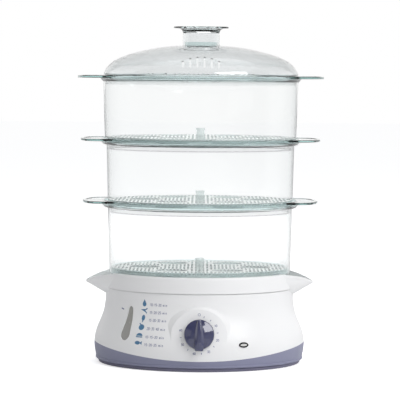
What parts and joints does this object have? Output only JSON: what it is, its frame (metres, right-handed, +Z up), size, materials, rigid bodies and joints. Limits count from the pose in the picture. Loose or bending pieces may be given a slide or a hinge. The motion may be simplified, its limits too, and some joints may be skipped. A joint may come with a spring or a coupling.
{
  "type": "electric food steamer",
  "caption": "Electric food steamer: a round base with heater, timer and water gauge, a drip tray with pouring spouts, stacked clear baskets and a domed clear lid.",
  "frame": {"origin": "on the stack's axis at the level of the feet", "axes": "+Z up, -Y towards the front with the timer knob, +X to the right seen from the front"},
  "size_m": [0.29, 0.2717, 0.395],
  "materials": {
    "white_housing": "satin moulded polypropylene",
    "violet_skirt": "satin moulded polypropylene",
    "violet_plate": "satin moulded polypropylene",
    "foot_rubber": "matt",
    "screw_steel": "zinc plated",
    "gland_rubber": "matt",
    "white_tank": "satin moulded polypropylene",
    "gauge_grey": "clear moulded window over a dark tank",
    "heater_steel": "polished stainless steel",
    "seal_silicone": "matt silicone",
    "heater_sheath": "oxidised stainless steel",
    "clamp_steel": "zinc plated",
    "nut_steel": "zinc plated",
    "thermostat_case": "steatite and aluminium",
    "fuse_sleeve": "woven glass sleeve",
    "ring_white": "satin",
    "knob_violet": "satin",
    "shaft_steel": "plain",
    "timer_case": "zinc plated",
    "bezel_black": "gloss",
    "lens_clear": "clear",
    "lamp_neon": "clear glass",
    "terminal_nylon": "natural nylon",
    "wire_sleeve": "silicone sleeve",
    "white_tray": "satin moulded polypropylene",
    "basket_clear": "clear moulded copolymer",
    "floor_clear": "clear moulded copolymer",
    "lid_clear": "clear moulded copolymer"
  },
  "bodies": {
    "base": {"housing": "white_housing", "base_skirt": "violet_skirt", "base_plate": "violet_plate", "feet": "foot_rubber", "base_screws": "screw_steel", "cord_gland": "gland_rubber", "water_tank": "white_tank", "gauge_window": "gauge_grey", "heater_plate": "heater_steel", "heater_gasket": "seal_silicone", "heater_tube": "heater_sheath", "heater_clamp": "clamp_steel", "heater_nuts": "nut_steel", "thermostat": "thermostat_case", "thermal_fuse": "fuse_sleeve", "timer_body": "timer_case", "timer_screws": "screw_steel", "lamp_bezel": "bezel_black", "lamp_lens": "lens_clear", "lamp_body": "lamp_neon", "terminal_block": "terminal_nylon", "internal_wires": "wire_sleeve"},
    "timer_dial": {"timer_knob": "knob_violet", "timer_shaft": "shaft_steel"},
    "steam_ring": {"steam_ring": "ring_white"},
    "drip_tray": {"drip_tray": "white_tray"},
    "basket_1": {"basket_1": "basket_clear"},
    "floor_1": {"basket_floor_1": "floor_clear"},
    "basket_2": {"basket_2": "basket_clear"},
    "floor_2": {"basket_floor_2": "floor_clear"},
    "basket_3": {"basket_3": "basket_clear"},
    "floor_3": {"basket_floor_3": "floor_clear"},
    "lid": {"lid": "lid_clear", "lid_knob": "lid_clear"}
  },
  "joints": [
    {"name": "timer_turn", "type": "hinge", "parent": "base", "child": "timer_dial", "pos_m": [0, -0.12078, 0.0432], "axis": [0, 0.9781, -0.2079], "range_deg": [0, 285]},
    {"name": "steam_ring_lift", "type": "slide", "parent": "base", "child": "steam_ring", "axis": [0, 0, 1], "range_m": [0, 0.008]},
    {"name": "drip_tray_lift", "type": "slide", "parent": "base", "child": "drip_tray", "axis": [0, 0, 1], "range_m": [0, 0.06]},
    {"name": "basket_1_lift", "type": "slide", "parent": "drip_tray", "child": "basket_1", "axis": [0, 0, 1], "range_m": [0, 0.06]},
    {"name": "floor_1_lift", "type": "slide", "parent": "basket_1", "child": "floor_1", "axis": [0, 0, 1], "range_m": [0, 0.055]},
    {"name": "basket_2_lift", "type": "slide", "parent": "basket_1", "child": "basket_2", "axis": [0, 0, 1], "range_m": [0, 0.06]},
    {"name": "floor_2_lift", "type": "slide", "parent": "basket_2", "child": "floor_2", "axis": [0, 0, 1], "range_m": [0, 0.055]},
    {"name": "basket_3_lift", "type": "slide", "parent": "basket_2", "child": "basket_3", "axis": [0, 0, 1], "range_m": [0, 0.06]},
    {"name": "floor_3_lift", "type": "slide", "parent": "basket_3", "child": "floor_3", "axis": [0, 0, 1], "range_m": [0, 0.055]},
    {"name": "lid_lift", "type": "slide", "parent": "basket_3", "child": "lid", "axis": [0, 0, 1], "range_m": [0, 0.06]}
  ]
}
